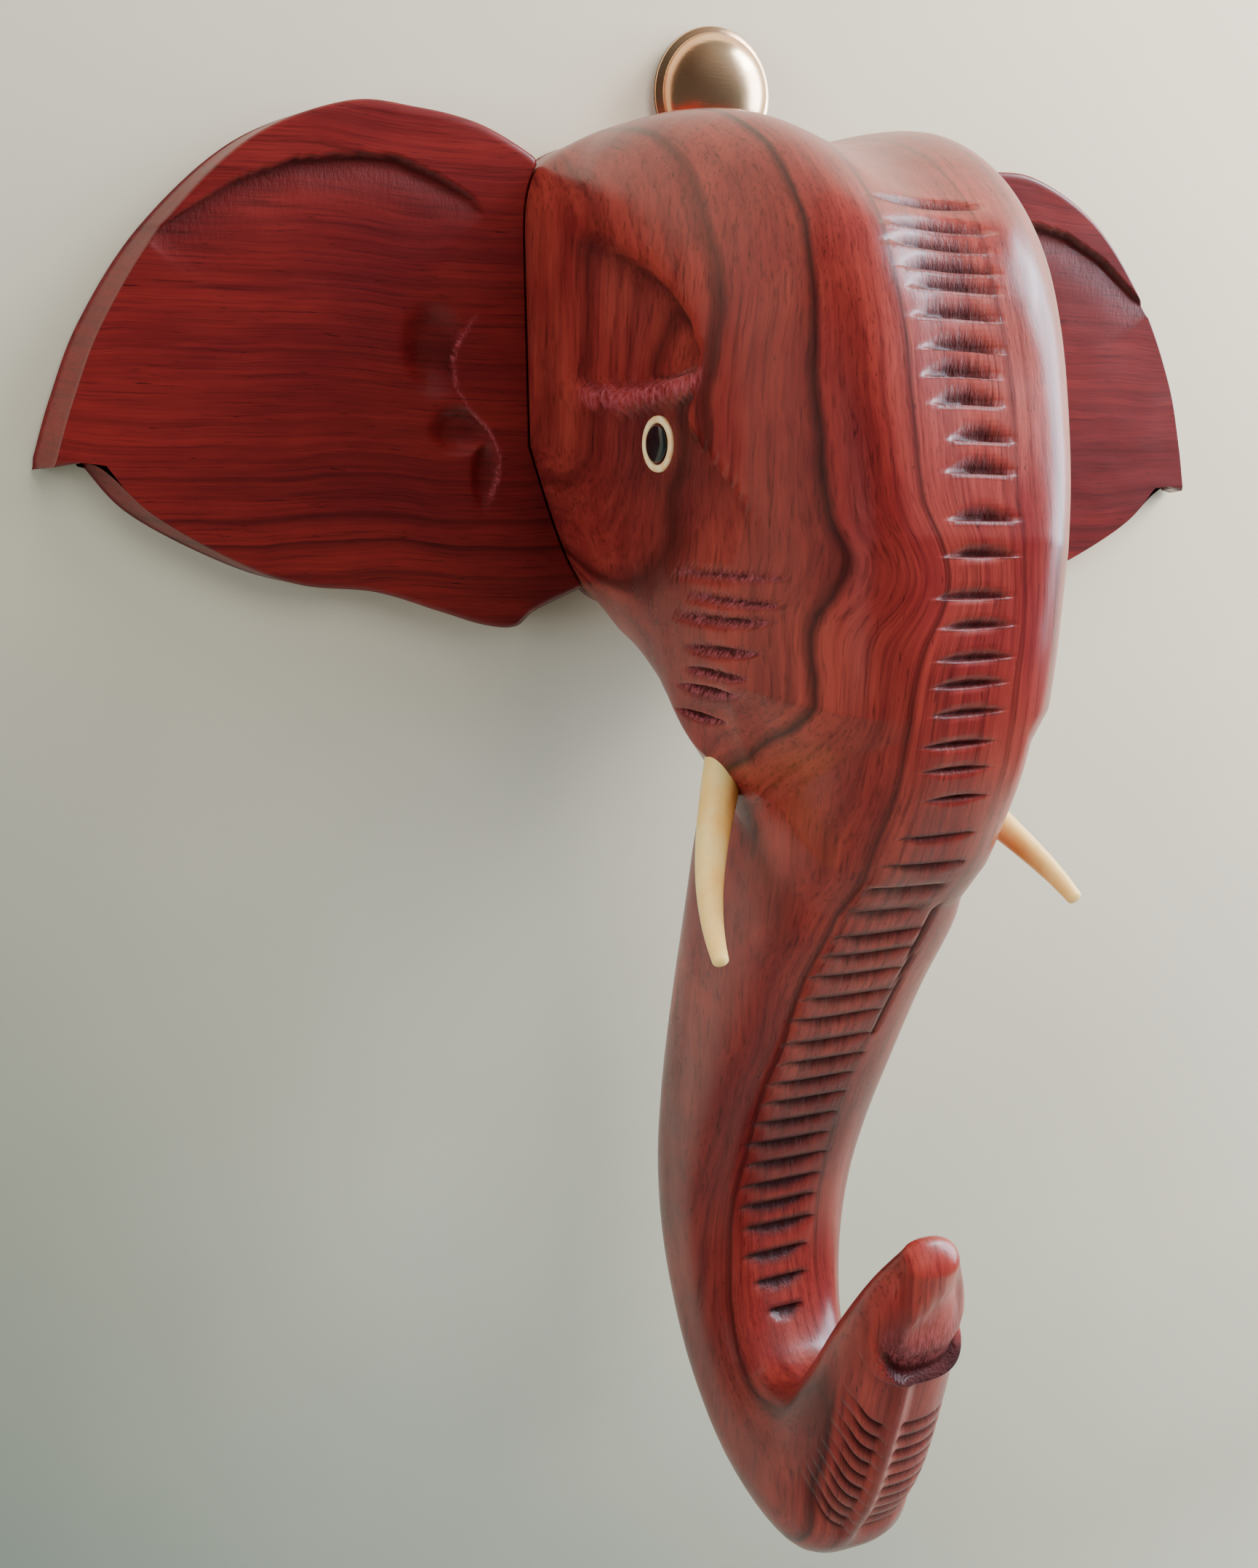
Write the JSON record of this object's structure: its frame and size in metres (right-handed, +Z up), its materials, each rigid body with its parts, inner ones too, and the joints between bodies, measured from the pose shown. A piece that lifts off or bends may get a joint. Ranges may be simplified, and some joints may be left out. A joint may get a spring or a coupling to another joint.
{
  "type": "elephant head wall hanging",
  "caption": "Carved wooden elephant head for the wall, with flat ears, cream tusks, inlaid eyes, a grooved trunk curled up at its end and a brass hanger.",
  "frame": {"origin": "on the flat back of the head, on its centre line, level with the notches of the ears", "axes": "+X to the viewer's right, +Y into the wall, +Z up; the face looks along -Y"},
  "size_m": [0.2404, 0.1107, 0.2583],
  "materials": {
    "rosewood": "satin varnished red-brown wood with dark grain",
    "ear_wood": "satin varnished deep red wood",
    "tusk_cream": "smooth cream, yellower at the edges",
    "eye_cream": "smooth cream",
    "eye_black": "glossy black",
    "brass": "polished"
  },
  "bodies": {
    "root": {"head": "rosewood", "ear_left": "ear_wood", "ear_right": "ear_wood", "tusk_left": "tusk_cream", "tusk_right": "tusk_cream", "eye_ring_left": "eye_cream", "eye_ring_right": "eye_cream", "pupil_left": "eye_black", "pupil_right": "eye_black", "hanger": "brass"}
  },
  "joints": []
}
